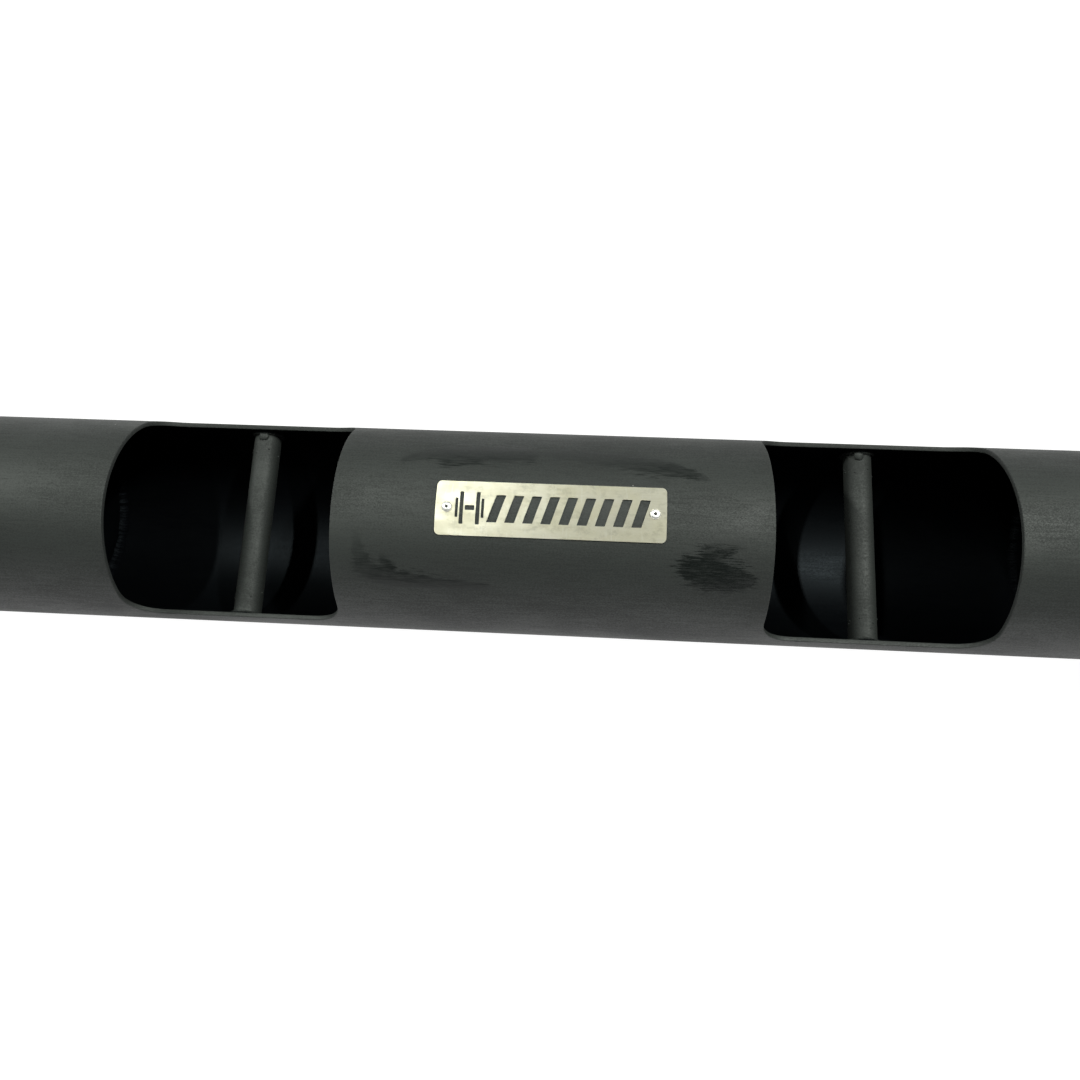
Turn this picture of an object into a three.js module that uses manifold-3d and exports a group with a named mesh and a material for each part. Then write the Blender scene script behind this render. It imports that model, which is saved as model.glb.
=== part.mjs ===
// Strongman log bar: a steel tube with two hand windows cut in its wall, a handle bar across
// each window, a pipe sleeve for weight plates at each end, and a riveted name plate between
// the windows. It lies on the floor with its windows facing up.
//
// Millimetres. X runs along the log, +Z is up, and the origin is on the floor below the middle
// of the log. Everything is built around the log's axis, and the whole group is then raised.

import * as THREE from 'three';
import { mergeVertices } from 'three/addons/utils/BufferGeometryUtils.js';
import Module from 'manifold-3d';

const wasm = await Module();
wasm.setup();

// The tube
const LOG_DIAMETER = 203.2;
const LOG_LENGTH = 1300;
const WALL = 4.5;
const SIDES = 32; // flats around the log; one of them faces straight down
const GAP = 0.3; // left between pieces that touch

// The hand windows, measured on the outside of the tube
const WINDOW_INNER_X = 199;
const WINDOW_OUTER_X = 411;
const WINDOW_HALF_ANGLE = THREE.MathUtils.degToRad(77);
const WINDOW_CORNER_RADIUS = 32;

// The handles and their welds
const HANDLE_DIAMETER = 26.9;
const HANDLE_X = 305.5;
const HANDLE_SIDES = 24;
const HANDLE_WELD_LEG = 5;

// The discs inside and at the ends of the tube
const BULKHEAD_X = 506; // inboard face
const BULKHEAD_THICKNESS = 6;
const BULKHEAD_WELD_LEG = 7;
const END_PLATE_THICKNESS = 8;
const WELD_GROOVE = 5; // chamfers on the end plate that hold its two flush welds

// The sleeves that carry the weight plates
const OVERALL_LENGTH = 2100;
const SLEEVE_DIAMETER = 48.3;
const SLEEVE_WALL = 4;
const SLEEVE_INNER_WELD_LEG = 6;
const CAP_FLANGE = 4;
const CAP_SPIGOT_LENGTH = 22;
const CAP_EDGE = 1.2;

// The name plate and its blind rivets
const PLATE_LENGTH = 206.7;
const PLATE_HEIGHT = 50.2; // measured around the tube
const PLATE_THICKNESS = 1.2;
const PLATE_CORNER_RADIUS = 4.5;
const RIVET_X = 93;
const RIVET_HOLE_RADIUS = 2.7;
const RIVET_SIDES = 16;
const RIVET_SHANK_RADIUS = 2.4;
const RIVET_FLANGE_RADIUS = 4.75;
const RIVET_FLANGE_EDGE = 0.5;
const RIVET_DOME_HEIGHT = 2.1;
const RIVET_BORE_RADIUS = 1.3;
const RIVET_BULB_RADIUS = 3.4;
const RIVET_BULB_LENGTH = 4;
const MANDREL_RADIUS = 1;
const MANDREL_HEAD_RADIUS = 2.2;
const MANDREL_HEAD_LENGTH = 1.6;
const MANDREL_RECESS = 0.4; // how far its broken end sits below the dome

// Derived sizes
const LOG_RADIUS = LOG_DIAMETER / 2;
const BORE_RADIUS = LOG_RADIUS - WALL;
const HANDLE_RADIUS = HANDLE_DIAMETER / 2;
const SLEEVE_RADIUS = SLEEVE_DIAMETER / 2;
const SLEEVE_BORE_RADIUS = SLEEVE_RADIUS - SLEEVE_WALL;
const END_PLATE_X = LOG_LENGTH / 2; // outer face, flush with the tube's end
const GROOVE_WELD_LEG = WELD_GROOVE - GAP * Math.SQRT2;
const SLEEVE_END_X = OVERALL_LENGTH / 2 - CAP_FLANGE - GAP;
const PLATE_TOP_RADIUS = LOG_RADIUS + GAP + PLATE_THICKNESS;

// How finely the bent outlines are drawn
const CORNER_STEPS = 6;
const BEND_STEP = Math.PI / SIDES;
const MERGE_DISTANCE = 1e-4;
const WELD_CROWN = 0.62; // how far a weld's face bulges: 0.5 is flat, 1 is square

const powderCoat = new THREE.MeshStandardMaterial({ color: '#3d403e', roughness: 0.55, metalness: 0.1 });
const stainless = new THREE.MeshStandardMaterial({ color: '#c6c1b5', roughness: 0.35, metalness: 1 });
const aluminium = new THREE.MeshStandardMaterial({ color: '#b9b8b4', roughness: 0.4, metalness: 1 });
const zincSteel = new THREE.MeshStandardMaterial({ color: '#6b6a67', roughness: 0.5, metalness: 1 });
const plastic = new THREE.MeshStandardMaterial({ color: '#1b1b1c', roughness: 0.65, metalness: 0 });

// Solids for cutting and joining

function toSolid(geometry) {
  const bare = geometry.clone();
  bare.deleteAttribute('normal');
  bare.deleteAttribute('uv');
  const merged = mergeVertices(bare, MERGE_DISTANCE);
  const vertProperties = Float32Array.from(merged.attributes.position.array);
  const triVerts = Uint32Array.from(merged.index.array);
  return new wasm.Manifold(new wasm.Mesh({ numProp: 3, vertProperties, triVerts }));
}

function toGeometry(solid) {
  const { vertProperties, triVerts } = solid.getMesh();
  const geometry = new THREE.BufferGeometry();
  geometry.setAttribute('position', new THREE.BufferAttribute(vertProperties, 3));
  geometry.setIndex(new THREE.BufferAttribute(triVerts, 1));
  geometry.computeVertexNormals();
  return geometry;
}

// Shapes

/** A profile of [radius, x] points turned around the X axis. The flats touch the true radius. */
function turned(profile) {
  const toCorner = 1 / Math.cos(Math.PI / SIDES);
  const points = profile.map(([radius, x]) => new THREE.Vector2(radius * toCorner, x));
  return new THREE.LatheGeometry(points, SIDES, Math.PI / SIDES).rotateZ(-Math.PI / 2);
}

/** A tube or a drilled disc around the X axis. */
function ring(innerRadius, outerRadius, startX, endX) {
  const profile = [
    [innerRadius, startX],
    [outerRadius, startX],
    [outerRadius, endX],
    [innerRadius, endX],
    [innerRadius, startX],
  ];
  return turned(profile);
}

/** The section of a fillet weld in a corner, as [radius, along] points. */
function filletProfile(cornerRadius, cornerAlong, radiusSign, alongSign, leg) {
  const crown = leg * WELD_CROWN;
  const points = [
    [cornerRadius, cornerAlong],
    [cornerRadius + radiusSign * leg, cornerAlong],
    [cornerRadius + radiusSign * crown, cornerAlong + alongSign * crown],
    [cornerRadius, cornerAlong + alongSign * leg],
    [cornerRadius, cornerAlong],
  ];
  return radiusSign * alongSign > 0 ? points : points.reverse();
}

/** The section of a weld that fills a chamfer flush with the end plate's outer face. */
function grooveProfile(cornerRadius, radiusSign) {
  const points = [
    [cornerRadius, END_PLATE_X],
    [cornerRadius, END_PLATE_X - GROOVE_WELD_LEG],
    [cornerRadius + radiusSign * GROOVE_WELD_LEG, END_PLATE_X],
    [cornerRadius, END_PLATE_X],
  ];
  return radiusSign > 0 ? points : points.reverse();
}

/** Rows of a rounded outline bent around the log: the angle of each, and how far its ends draw in. */
function bentRows(halfAngle, cornerRadius) {
  const rows = [];
  for (let step = 0; step <= CORNER_STEPS; step += 1) {
    const turn = (Math.PI / 2) * (step / CORNER_STEPS);
    const arc = cornerRadius * (1 - Math.cos(turn));
    rows.push({ angle: -halfAngle + arc / LOG_RADIUS, inset: cornerRadius * (1 - Math.sin(turn)) });
  }
  const straight = halfAngle - cornerRadius / LOG_RADIUS;
  const middleSteps = Math.max(1, Math.ceil((2 * straight) / BEND_STEP));
  for (let step = 1; step < middleSteps; step += 1) {
    rows.push({ angle: straight * ((2 * step) / middleSteps - 1), inset: 0 });
  }
  for (const { angle, inset } of rows.slice(0, CORNER_STEPS + 1).reverse()) {
    rows.push({ angle: -angle, inset });
  }
  return rows;
}

/** A block with a rounded outline, bent around the log between two radii and centred on +Z. */
function bentBlock(startX, endX, halfAngle, cornerRadius, innerRadius, outerRadius) {
  const rows = bentRows(halfAngle, cornerRadius);
  const geometry = new THREE.BoxGeometry(1, 1, 1, 1, rows.length - 1, 1);
  const position = geometry.attributes.position;
  for (let i = 0; i < position.count; i += 1) {
    const { angle, inset } = rows[Math.round((position.getY(i) + 0.5) * (rows.length - 1))];
    const x = position.getX(i) < 0 ? startX + inset : endX - inset;
    const radius = position.getZ(i) < 0 ? innerRadius : outerRadius;
    position.setXYZ(i, x, radius * Math.sin(angle), radius * Math.cos(angle));
  }
  return geometry;
}

/** A drill through the top of the log for a rivet. */
function rivetDrill(x) {
  const depth = LOG_RADIUS - BORE_RADIUS + PLATE_THICKNESS + RIVET_BULB_LENGTH;
  const drill = new THREE.CylinderGeometry(RIVET_HOLE_RADIUS, RIVET_HOLE_RADIUS, 2 * depth, RIVET_SIDES);
  return toSolid(drill.rotateX(Math.PI / 2).translate(x, 0, LOG_RADIUS));
}

// Pieces

function logShell() {
  const windowDepth = 2 * WALL;
  const windowSolid = (startX, endX) => toSolid(bentBlock(
    startX,
    endX,
    WINDOW_HALF_ANGLE,
    WINDOW_CORNER_RADIUS,
    BORE_RADIUS - windowDepth,
    LOG_RADIUS + windowDepth,
  ));
  const tube = toSolid(ring(BORE_RADIUS, LOG_RADIUS, -LOG_LENGTH / 2, LOG_LENGTH / 2));
  return toGeometry(tube
    .subtract(windowSolid(WINDOW_INNER_X, WINDOW_OUTER_X))
    .subtract(windowSolid(-WINDOW_OUTER_X, -WINDOW_INNER_X))
    .subtract(rivetDrill(RIVET_X))
    .subtract(rivetDrill(-RIVET_X)));
}

/** What fills the tube's bore, less the gap: pieces that end on the inner wall are trimmed to it. */
function boreFill() {
  const reach = LOG_RADIUS;
  const radius = BORE_RADIUS - GAP;
  return toSolid(turned([[0, -reach], [radius, -reach], [radius, reach], [0, reach]]));
}

function handle() {
  const bar = new THREE.CylinderGeometry(HANDLE_RADIUS, HANDLE_RADIUS, LOG_DIAMETER, HANDLE_SIDES);
  return toGeometry(toSolid(bar).intersect(boreFill()));
}

/** The weld around the +Y end of a handle. */
function handleWeld() {
  const section = filletProfile(HANDLE_RADIUS + GAP, BORE_RADIUS, 1, -1, HANDLE_WELD_LEG);
  const points = section.map(([radius, y]) => new THREE.Vector2(radius, y));
  return toGeometry(toSolid(new THREE.LatheGeometry(points, HANDLE_SIDES)).intersect(boreFill()));
}

function bulkhead() {
  return ring(SLEEVE_RADIUS + GAP, BORE_RADIUS - GAP, BULKHEAD_X, BULKHEAD_X + BULKHEAD_THICKNESS);
}

function bulkheadWeld() {
  return turned(filletProfile(BORE_RADIUS - GAP, BULKHEAD_X - GAP, -1, -1, BULKHEAD_WELD_LEG));
}

function endPlate() {
  const holeRadius = SLEEVE_RADIUS + GAP;
  const rimRadius = BORE_RADIUS - GAP;
  return turned([
    [holeRadius, END_PLATE_X - END_PLATE_THICKNESS],
    [rimRadius, END_PLATE_X - END_PLATE_THICKNESS],
    [rimRadius, END_PLATE_X - WELD_GROOVE],
    [rimRadius - WELD_GROOVE, END_PLATE_X],
    [holeRadius + WELD_GROOVE, END_PLATE_X],
    [holeRadius, END_PLATE_X - WELD_GROOVE],
    [holeRadius, END_PLATE_X - END_PLATE_THICKNESS],
  ]);
}

function endPlateWeld() {
  return turned(grooveProfile(BORE_RADIUS - GAP, -1));
}

function sleeve() {
  return ring(SLEEVE_BORE_RADIUS, SLEEVE_RADIUS, BULKHEAD_X, SLEEVE_END_X);
}

function sleeveWeld() {
  return turned(grooveProfile(SLEEVE_RADIUS + GAP, 1));
}

function sleeveInnerWeld() {
  const cornerX = BULKHEAD_X + BULKHEAD_THICKNESS + GAP;
  return turned(filletProfile(SLEEVE_RADIUS + GAP, cornerX, 1, 1, SLEEVE_INNER_WELD_LEG));
}

function sleeveCap() {
  const flangeX = SLEEVE_END_X + GAP;
  const endX = flangeX + CAP_FLANGE;
  const spigotRadius = SLEEVE_BORE_RADIUS - GAP;
  return turned([
    [0, flangeX - CAP_SPIGOT_LENGTH],
    [spigotRadius - CAP_EDGE, flangeX - CAP_SPIGOT_LENGTH],
    [spigotRadius, flangeX - CAP_SPIGOT_LENGTH + CAP_EDGE],
    [spigotRadius, flangeX],
    [SLEEVE_RADIUS, flangeX],
    [SLEEVE_RADIUS, endX - CAP_EDGE],
    [SLEEVE_RADIUS - CAP_EDGE, endX],
    [0, endX],
  ]);
}

function namePlate() {
  const halfLength = PLATE_LENGTH / 2;
  const halfAngle = PLATE_HEIGHT / 2 / LOG_RADIUS;
  const sheet = toSolid(ring(LOG_RADIUS + GAP, PLATE_TOP_RADIUS, -halfLength - 1, halfLength + 1));
  const outline = toSolid(bentBlock(
    -halfLength,
    halfLength,
    halfAngle,
    PLATE_CORNER_RADIUS,
    LOG_RADIUS - PLATE_THICKNESS,
    PLATE_TOP_RADIUS + PLATE_THICKNESS,
  ));
  return toGeometry(sheet
    .intersect(outline)
    .subtract(rivetDrill(RIVET_X))
    .subtract(rivetDrill(-RIVET_X)));
}

/** A [radius, height] profile turned around +Z, with height 0 on the name plate. */
function rivetPiece(profile) {
  const points = profile.map(([radius, height]) => new THREE.Vector2(radius, height));
  const geometry = new THREE.LatheGeometry(points, RIVET_SIDES);
  return geometry.rotateX(Math.PI / 2).translate(0, 0, PLATE_TOP_RADIUS);
}

const RIVET_BULB_TOP = BORE_RADIUS - GAP - PLATE_TOP_RADIUS;
const RIVET_BOTTOM = RIVET_BULB_TOP - RIVET_BULB_LENGTH;

function rivetBody() {
  const taper = RIVET_BULB_RADIUS - RIVET_SHANK_RADIUS;
  const domeTop = GAP + RIVET_DOME_HEIGHT;
  const shoulderRadius = (RIVET_FLANGE_RADIUS + RIVET_SHANK_RADIUS) / 2;
  const shoulderHeight = GAP + RIVET_DOME_HEIGHT * 0.75;
  return rivetPiece([
    [RIVET_BORE_RADIUS, RIVET_BOTTOM],
    [RIVET_SHANK_RADIUS, RIVET_BOTTOM],
    [RIVET_BULB_RADIUS, RIVET_BOTTOM + taper],
    [RIVET_BULB_RADIUS, RIVET_BULB_TOP - taper],
    [RIVET_SHANK_RADIUS, RIVET_BULB_TOP],
    [RIVET_SHANK_RADIUS, GAP],
    [RIVET_FLANGE_RADIUS, GAP],
    [RIVET_FLANGE_RADIUS, GAP + RIVET_FLANGE_EDGE],
    [shoulderRadius, shoulderHeight],
    [RIVET_BORE_RADIUS, domeTop],
    [RIVET_BORE_RADIUS, RIVET_BOTTOM],
  ]);
}

function rivetMandrel() {
  const headTop = RIVET_BOTTOM - GAP;
  const headBottom = headTop - MANDREL_HEAD_LENGTH;
  const stemTop = GAP + RIVET_DOME_HEIGHT - MANDREL_RECESS;
  return rivetPiece([
    [0, headBottom],
    [MANDREL_RADIUS, headBottom],
    [MANDREL_HEAD_RADIUS, headBottom + MANDREL_HEAD_RADIUS - MANDREL_RADIUS],
    [MANDREL_HEAD_RADIUS, headTop],
    [MANDREL_RADIUS, headTop],
    [MANDREL_RADIUS, stemTop],
    [0, stemTop],
  ]);
}

// Assembly

const logBar = new THREE.Group();
logBar.position.z = LOG_RADIUS;

/** Adds a named piece, half a turn around +Z when it belongs on the other side. */
function add(name, geometry, material, x = 0, turnedRound = false) {
  const mesh = new THREE.Mesh(geometry, material.clone());
  mesh.name = name;
  mesh.position.x = x;
  mesh.rotation.z = turnedRound ? Math.PI : 0;
  logBar.add(mesh);
}

add('log_shell', logShell(), powderCoat);
add('name_plate', namePlate(), stainless);

for (const [side, sign] of [['left', -1], ['right', 1]]) {
  const onLeft = sign < 0;
  add(`${side}_handle`, handle(), powderCoat, sign * HANDLE_X);
  add(`${side}_handle_rear_weld`, handleWeld(), powderCoat, sign * HANDLE_X);
  add(`${side}_handle_front_weld`, handleWeld(), powderCoat, sign * HANDLE_X, true);
  add(`${side}_bulkhead`, bulkhead(), powderCoat, 0, onLeft);
  add(`${side}_bulkhead_weld`, bulkheadWeld(), powderCoat, 0, onLeft);
  add(`${side}_end_plate`, endPlate(), powderCoat, 0, onLeft);
  add(`${side}_end_plate_weld`, endPlateWeld(), powderCoat, 0, onLeft);
  add(`${side}_sleeve`, sleeve(), powderCoat, 0, onLeft);
  add(`${side}_sleeve_weld`, sleeveWeld(), powderCoat, 0, onLeft);
  add(`${side}_sleeve_inner_weld`, sleeveInnerWeld(), powderCoat, 0, onLeft);
  add(`${side}_sleeve_cap`, sleeveCap(), plastic, 0, onLeft);
  add(`${side}_rivet_body`, rivetBody(), aluminium, sign * RIVET_X);
  add(`${side}_rivet_mandrel`, rivetMandrel(), zincSteel, sign * RIVET_X);
}

export default logBar;
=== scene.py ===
"""Looks of a strongman log bar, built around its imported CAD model.

Metres, in the model's own frame: X runs along the log, +Z is up through the hand windows, and
the log lies on the floor z = 0. An angle on the log is measured from +Z towards +Y.
"""

import math

import bmesh
import bpy
import numpy as np
from mathutils import Matrix, Vector, noise


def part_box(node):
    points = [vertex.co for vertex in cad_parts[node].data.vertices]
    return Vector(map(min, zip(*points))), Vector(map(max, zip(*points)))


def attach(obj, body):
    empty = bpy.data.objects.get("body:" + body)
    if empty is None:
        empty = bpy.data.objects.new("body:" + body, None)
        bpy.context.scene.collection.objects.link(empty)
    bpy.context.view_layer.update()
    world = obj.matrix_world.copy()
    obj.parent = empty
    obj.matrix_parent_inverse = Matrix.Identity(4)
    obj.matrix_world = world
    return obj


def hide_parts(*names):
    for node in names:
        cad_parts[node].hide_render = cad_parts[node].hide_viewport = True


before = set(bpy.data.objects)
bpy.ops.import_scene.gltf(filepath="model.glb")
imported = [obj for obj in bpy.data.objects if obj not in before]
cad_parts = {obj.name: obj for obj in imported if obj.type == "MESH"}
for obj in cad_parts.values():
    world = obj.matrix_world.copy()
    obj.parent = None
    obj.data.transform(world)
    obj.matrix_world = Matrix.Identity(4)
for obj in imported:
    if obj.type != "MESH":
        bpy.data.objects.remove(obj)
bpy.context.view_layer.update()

MM = 0.001

# ---------------------------------------------------------------- sizes

shell_low, shell_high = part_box("log_shell")
AXIS_Z = (shell_low.z + shell_high.z) / 2
LOG_RADIUS = (shell_high.z - shell_low.z) / 2
LOG_END_X = shell_high.x
WALL = 4.5 * MM
BORE_RADIUS = LOG_RADIUS - WALL
SHELL_EDGE = 0.7 * MM  # rounding of the shell's cut edges

# The windows: how far their ends are from the middle of the log, and half their width round it.
WINDOW_INNER_X = 199 * MM
WINDOW_OUTER_X = 411 * MM
WINDOW_HALF_ARC = math.radians(77) * LOG_RADIUS
WINDOW_CORNER_RADIUS = 32 * MM

# The shell's grid of faces. A frame of other faces leads from it to each window's rounded outline.
ROWS_ROUND = 256
ROW_ANGLE = 2 * math.pi / ROWS_ROUND
FRAME_ROWS = 60  # rows from a window's middle to the edge of the grid
FRAME_MARGIN = 13 * MM  # from a window's end to the edge of the grid
FINE_COLUMN = 4 * MM
COARSE_COLUMN = 20 * MM
WINDOW_LEAD_IN = [7 * MM, 3 * MM, 1.4 * MM]  # loops of faces beside a window's edge, from the edge

plate_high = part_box("name_plate")[1]
PLATE_HALF_LENGTH = plate_high.x
PLATE_HALF_HEIGHT = 25.1 * MM
PLATE_THICKNESS = 1.2 * MM
PLATE_TOP_RADIUS = plate_high.z - AXIS_Z
PLATE_CORNER_RADIUS = 4.5 * MM
PLATE_EDGE = 0.16 * MM

HANDLE_SEGMENTS = 96
HANDLE_RINGS = 60

HANDLE_WELD_LEG = 4.5 * MM
BULKHEAD_WELD_LEG = 7 * MM
SLEEVE_INNER_WELD_LEG = 6 * MM
WELD_GROOVE = 5 * MM
WELD_PITCH = 3.4 * MM  # from one ripple of a weld bead to the next
WELD_SMOOTHING = 60  # degrees


# ---------------------------------------------------------------- mesh building


def on_log(x, angle, radius):
    """The point at an angle and a radius round the log's axis."""
    return Vector((x, radius * math.sin(angle), AXIS_Z + radius * math.cos(angle)))


def full_turn(count):
    """Evenly spaced angles round a circle."""
    return [2 * math.pi * i / count for i in range(count)]


def middle_and_radius(node):
    """Where a round upright or crosswise CAD node is along the log, and its radius."""
    low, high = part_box(node)
    return (low.x + high.x) / 2, (high.x - low.x) / 2


class Skin:
    """The points and faces of one mesh while it is put together."""

    def __init__(self):
        self.points = []
        self.faces = []

    def loop(self, points):
        start = len(self.points)
        self.points.extend(points)
        return list(range(start, len(self.points)))

    def bridge(self, first, second):
        """Faces between two closed loops of the same length."""
        count = len(first)
        for i in range(count):
            j = (i + 1) % count
            self.faces.append((first[i], first[j], second[j], second[i]))

    def tube(self, loops):
        """Faces from each closed loop to the next."""
        for first, second in zip(loops, loops[1:]):
            self.bridge(first, second)

    def fan(self, ring, centre):
        """Faces from a closed loop to one point."""
        hub = self.loop([centre])[0]
        count = len(ring)
        for i in range(count):
            self.faces.append((ring[i], ring[(i + 1) % count], hub))

    def piece(self, name, smooth_degrees=38):
        mesh = bpy.data.meshes.new(name)
        mesh.from_pydata(self.points, [], self.faces)
        return finished(name, mesh, smooth_degrees)


def finished(name, mesh, smooth_degrees=38):
    """Turns the faces outwards, sets the shading, and links an object at the origin."""
    work = bmesh.new()
    work.from_mesh(mesh)
    bmesh.ops.recalc_face_normals(work, faces=work.faces)
    work.to_mesh(mesh)
    work.free()
    mesh.shade_smooth()
    mesh.set_sharp_from_angle(angle=math.radians(smooth_degrees))
    piece = bpy.data.objects.new(name, mesh)
    bpy.context.scene.collection.objects.link(piece)
    return piece


def softened(profile, radius, steps=4):
    """A closed outline with every corner turned into a small arc."""
    points = [Vector(p) for p in profile]
    result = []
    for before, corner, after in zip(points[-1:] + points[:-1], points, points[1:] + points[:1]):
        reach = min(radius, (before - corner).length / 2.2, (after - corner).length / 2.2)
        start = corner + (before - corner).normalized() * reach
        end = corner + (after - corner).normalized() * reach
        for step in range(steps + 1):
            t = step / steps
            result.append(start.lerp(corner, t).lerp(corner.lerp(end, t), t))
    return result


def turned(name, profile, placed, segments, edge):
    """A closed (along, radius) outline turned round an axis. placed(along, radius, angle) is a point.

    An outline that starts and ends on the axis makes a solid with no bore. edge is the rounding
    of its corners.
    """
    skin = Skin()
    solid = profile[0][1] == 0
    if solid:
        beyond = -9 * edge  # past the axis, where the outline's rounded ends are cut off again
        ends = [(profile[0][0], beyond)], [(profile[-1][0], beyond)]
        outline = softened(ends[0] + profile[1:-1] + ends[1], edge)
        outline = [p for p in outline if p.y > 0]
    else:
        outline = softened(profile, edge)
    rings = [skin.loop([placed(p.x, p.y, a) for a in full_turn(segments)]) for p in outline]
    skin.tube(rings)
    if solid:
        skin.fan(rings[0], placed(profile[0][0], 0, 0))
        skin.fan(rings[-1], placed(profile[-1][0], 0, 0))
    else:
        skin.bridge(rings[-1], rings[0])
    return skin.piece(name)


def round_log(x, radius, angle):
    return on_log(x, angle, radius)


def weld_bead(roots, seed, crown, size_noise):
    """The skin of a rippled bead along a closed path.

    Each root is (point, leg along one wall, leg along the other). crown is how far the bead
    bulges, and size_noise how much its size wanders, both as a share of its leg.
    """
    skin = Skin()
    section_steps = 9
    coarse, fine = 90, 260  # lumps for each metre
    ripple_height = 0.16
    root_depth = 0.25
    travelled = 0.0
    loops = []
    previous = roots[-1][0]
    length = sum((a[0] - b[0]).length for a, b in zip(roots, roots[1:] + roots[:1]))
    ripples = max(1, round(length / WELD_PITCH))
    for point, leg_u, leg_v in roots:
        travelled += (point - previous).length
        previous = point
        lump = 1 + size_noise * noise.noise(point * coarse + Vector((seed, 0, 0)))
        lump += 0.5 * size_noise * noise.noise(point * fine + Vector((0, seed, 0)))
        outward = (leg_u + leg_v) / 2
        section = [point - outward * root_depth]
        for step in range(section_steps + 1):
            t = step / section_steps
            bow = 4 * t * (1 - t)
            phase = travelled / length * ripples - 0.5 * bow
            ripple = (phase % 1.0 - 0.5) * ripple_height
            face = (leg_u * (1 - t) + leg_v * t) * lump
            section.append(point + face + outward * bow * (crown + ripple * bow) * lump)
        loops.append(skin.loop(section))
    skin.tube(loops + loops[:1])
    return skin


def blob(skin, centre, radii, seed, rings=14, segments=28):
    """Adds a lump of weld metal or spatter: a rough ball, squashed to three radii."""
    roughness, lumps = 0.16, 1.4
    loops = []
    for i in range(1, rings):
        tilt = math.pi * i / rings
        points = []
        for turn in full_turn(segments):
            level = math.sin(tilt)
            way = Vector((level * math.cos(turn), level * math.sin(turn), math.cos(tilt)))
            rough = 1 + roughness * noise.noise(way * lumps + Vector((seed, seed, 0)))
            points.append(centre + Vector(w * r for w, r in zip(way, radii)) * rough)
        loops.append(skin.loop(points))
    skin.tube(loops)
    skin.fan(loops[0], centre + Vector((0, 0, radii[2])))
    skin.fan(loops[-1], centre - Vector((0, 0, radii[2])))


# ---------------------------------------------------------------- the shell


def shell_columns():
    """Where the shell's grid lines are along the log: close together as far as the windows reach."""
    outer = WINDOW_OUTER_X + FRAME_MARGIN
    inner = WINDOW_INNER_X - FRAME_MARGIN
    spans = [
        (0.0, inner, FINE_COLUMN),
        (inner, outer, FINE_COLUMN),
        (outer, LOG_END_X - SHELL_EDGE, COARSE_COLUMN),
    ]
    columns = [0.0]
    for start, end, step in spans:
        count = math.ceil((end - start) / step)
        columns += [start + (end - start) * (i + 1) / count for i in range(count)]
    return [-x for x in reversed(columns[1:])] + columns


def window_edge(x, arc, centre_x):
    """The point of a window's outline nearest to a grid point, and the way out from it."""
    core_x = (WINDOW_OUTER_X - WINDOW_INNER_X) / 2 - WINDOW_CORNER_RADIUS
    core_arc = WINDOW_HALF_ARC - WINDOW_CORNER_RADIUS
    core = Vector((
        centre_x + max(-core_x, min(core_x, x - centre_x)),
        max(-core_arc, min(core_arc, arc)),
    ))
    away = (Vector((x, arc)) - core).normalized()
    return core + away * WINDOW_CORNER_RADIUS, away


def edge_steps(lead_in):
    """Pairs of distance from a cut and depth, over its rounded edge, through the wall and back."""
    steps = [(distance, 0.0) for distance in lead_in]
    arc = [math.pi / 2 * i / 4 for i in range(5)]
    over = [(SHELL_EDGE * (1 - math.sin(t)), SHELL_EDGE * (1 - math.cos(t))) for t in arc]
    steps += over
    steps += [(distance, WALL - depth) for distance, depth in reversed(over)]
    return steps + [(distance, WALL) for distance in reversed(lead_in)]


def log_shell():
    """The tube, inside and outside, with its two windows."""
    skin = Skin()
    columns = shell_columns()
    half = ROWS_ROUND // 2
    angles = [(i - half) * ROW_ANGLE for i in range(ROWS_ROUND)]
    low, high = half - FRAME_ROWS, half + FRAME_ROWS
    spans = []  # the first and last column of each window's frame
    frame_ends = (WINDOW_INNER_X - FRAME_MARGIN, WINDOW_OUTER_X + FRAME_MARGIN)
    for sign in (-1, 1):
        ends = sorted(sign * x for x in frame_ends)
        spans.append([min(range(len(columns)), key=lambda c: abs(columns[c] - x)) for x in ends])

    def in_window(column, row):
        return low <= row < high and any(start <= column < end for start, end in spans)

    grids = []
    for radius in (LOG_RADIUS, BORE_RADIUS):
        grid = [skin.loop([on_log(x, a, radius) for a in angles]) for x in columns]
        grids.append(grid)
        for column in range(len(columns) - 1):
            for row in range(ROWS_ROUND):
                if in_window(column, row):
                    continue
                after = (row + 1) % ROWS_ROUND
                skin.faces.append((
                    grid[column][row],
                    grid[column][after],
                    grid[column + 1][after],
                    grid[column + 1][row],
                ))

    for start, end in spans:
        centre_x = (columns[start] + columns[end]) / 2
        border = [(c, low) for c in range(start, end)]
        border += [(end, r) for r in range(low, high)]
        border += [(c, high) for c in range(end, start, -1)]
        border += [(start, r) for r in range(high, low, -1)]
        edges = [window_edge(columns[c], angles[r] * LOG_RADIUS, centre_x) for c, r in border]
        loop = [grids[0][c][r] for c, r in border]
        for distance, depth in edge_steps(WINDOW_LEAD_IN):
            points = []
            for edge, away in edges:
                spot = edge + away * distance
                points.append(on_log(spot.x, spot.y / LOG_RADIUS, LOG_RADIUS - depth))
            ring = skin.loop(points)
            skin.bridge(loop, ring)
            loop = ring
        skin.bridge(loop, [grids[1][c][r] for c, r in border])

    for column, sign in ((0, -1), (len(columns) - 1, 1)):
        loop = grids[0][column]
        for distance, depth in edge_steps([])[1:-1]:
            x = sign * (LOG_END_X - distance)
            ring = skin.loop([on_log(x, a, LOG_RADIUS - depth) for a in angles])
            skin.bridge(loop, ring)
            loop = ring
        skin.bridge(loop, grids[1][column])
    return skin.piece("log_shell_looks")


# ---------------------------------------------------------------- handles and their welds


def wall_y(height):
    """How far the bore's wall is from the axis, sideways, at a height above the axis."""
    return math.sqrt(BORE_RADIUS**2 - height**2)


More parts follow.
